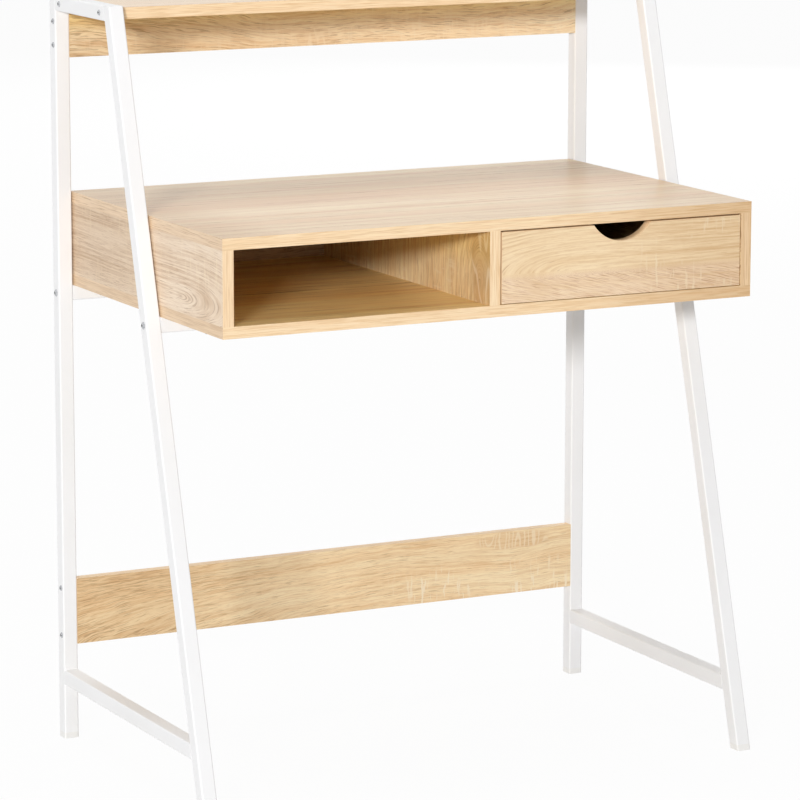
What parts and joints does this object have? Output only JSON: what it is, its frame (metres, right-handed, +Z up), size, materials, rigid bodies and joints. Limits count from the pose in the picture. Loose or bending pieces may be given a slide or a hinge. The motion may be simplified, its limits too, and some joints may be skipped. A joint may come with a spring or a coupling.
{
  "type": "ladder desk",
  "caption": "Ladder desk with white steel tube side frames, an oak-look body with an open cubby and a sliding drawer, a top shelf and back boards.",
  "frame": {"origin": "on the floor, under the middle of the outer box", "axes": "+Z up, front of the desk toward -Y, +X to the right"},
  "size_m": [0.8048, 0.496, 1.004],
  "materials": {
    "frame_steel": "white powder coat, satin",
    "foot_plastic": "white plastic",
    "oak_laminate": "light oak-look laminate on particle board",
    "drawer_board": "light oak-look laminate on thin board",
    "thin_sheet": "oak-look hardboard sheet",
    "runner_steel": "white epoxy coat",
    "roller_plastic": "white nylon",
    "zinc": "zinc plated"
  },
  "bodies": {
    "desk": {"back_panel": "thin_sheet", "base_screws": "zinc", "bottom_screws": "zinc", "cabinet_runner_screws": "zinc", "cam_bolts": "zinc", "cam_locks": "zinc", "cross_tube_bolts": "zinc", "desk_bottom": "oak_laminate", "desk_top": "oak_laminate", "divider": "oak_laminate", "front_cross_tube": "frame_steel", "left_cabinet_runner": "runner_steel", "left_front_foot": "foot_plastic", "left_front_leg": "frame_steel", "left_rear_foot": "foot_plastic", "left_rear_leg": "frame_steel", "left_side_panel": "oak_laminate", "left_stretcher": "frame_steel", "left_top_rail": "frame_steel", "lower_back_board": "oak_laminate", "lower_board_screws": "zinc", "rear_cross_tube": "frame_steel", "right_cabinet_runner": "runner_steel", "right_front_foot": "foot_plastic", "right_front_leg": "frame_steel", "right_rear_foot": "foot_plastic", "right_rear_leg": "frame_steel", "right_side_panel": "oak_laminate", "right_stretcher": "frame_steel", "right_top_rail": "frame_steel", "shelf_screws": "zinc", "top_shelf": "oak_laminate", "upper_back_board": "oak_laminate", "upper_board_screws": "zinc"},
    "drawer": {"drawer_back": "drawer_board", "drawer_back_screws": "zinc", "drawer_bottom": "thin_sheet", "drawer_cam_bolts": "zinc", "drawer_cam_locks": "zinc", "drawer_front": "oak_laminate", "drawer_left_side": "drawer_board", "drawer_right_side": "drawer_board", "drawer_runner_screws": "zinc", "left_drawer_runner": "runner_steel", "right_drawer_runner": "runner_steel"},
    "left_cabinet_roller": {"left_cabinet_roller": "roller_plastic"},
    "left_drawer_roller": {"left_drawer_roller": "roller_plastic"},
    "right_cabinet_roller": {"right_cabinet_roller": "roller_plastic"},
    "right_drawer_roller": {"right_drawer_roller": "roller_plastic"}
  },
  "joints": [
    {"name": "drawer_slide", "type": "slide", "parent": "desk", "child": "drawer", "axis": [0, -1, 0], "range_m": [0, 0.3]},
    {"name": "left_cabinet_roller_spin", "type": "hinge", "parent": "desk", "child": "left_cabinet_roller", "pos_m": [0.0139, -0.217, 0.6562], "axis": [1, 0, 0], "range_deg": [0, 1563.1]},
    {"name": "left_drawer_roller_spin", "type": "hinge", "parent": "drawer", "child": "left_drawer_roller", "pos_m": [0.0139, 0.155, 0.6545], "axis": [1, 0, 0], "range_deg": [0, 1563.1]},
    {"name": "right_cabinet_roller_spin", "type": "hinge", "parent": "desk", "child": "right_cabinet_roller", "pos_m": [0.3566, -0.217, 0.6562], "axis": [1, 0, 0], "range_deg": [0, 1563.1]},
    {"name": "right_drawer_roller_spin", "type": "hinge", "parent": "drawer", "child": "right_drawer_roller", "pos_m": [0.3566, 0.155, 0.6545], "axis": [1, 0, 0], "range_deg": [0, 1563.1]}
  ],
  "couplings": [
    {"joint": "left_cabinet_roller_spin", "follows": "drawer_slide", "rad_per_m": 90.909},
    {"joint": "left_drawer_roller_spin", "follows": "drawer_slide", "rad_per_m": 90.909},
    {"joint": "right_cabinet_roller_spin", "follows": "drawer_slide", "rad_per_m": 90.909},
    {"joint": "right_drawer_roller_spin", "follows": "drawer_slide", "rad_per_m": 90.909}
  ]
}
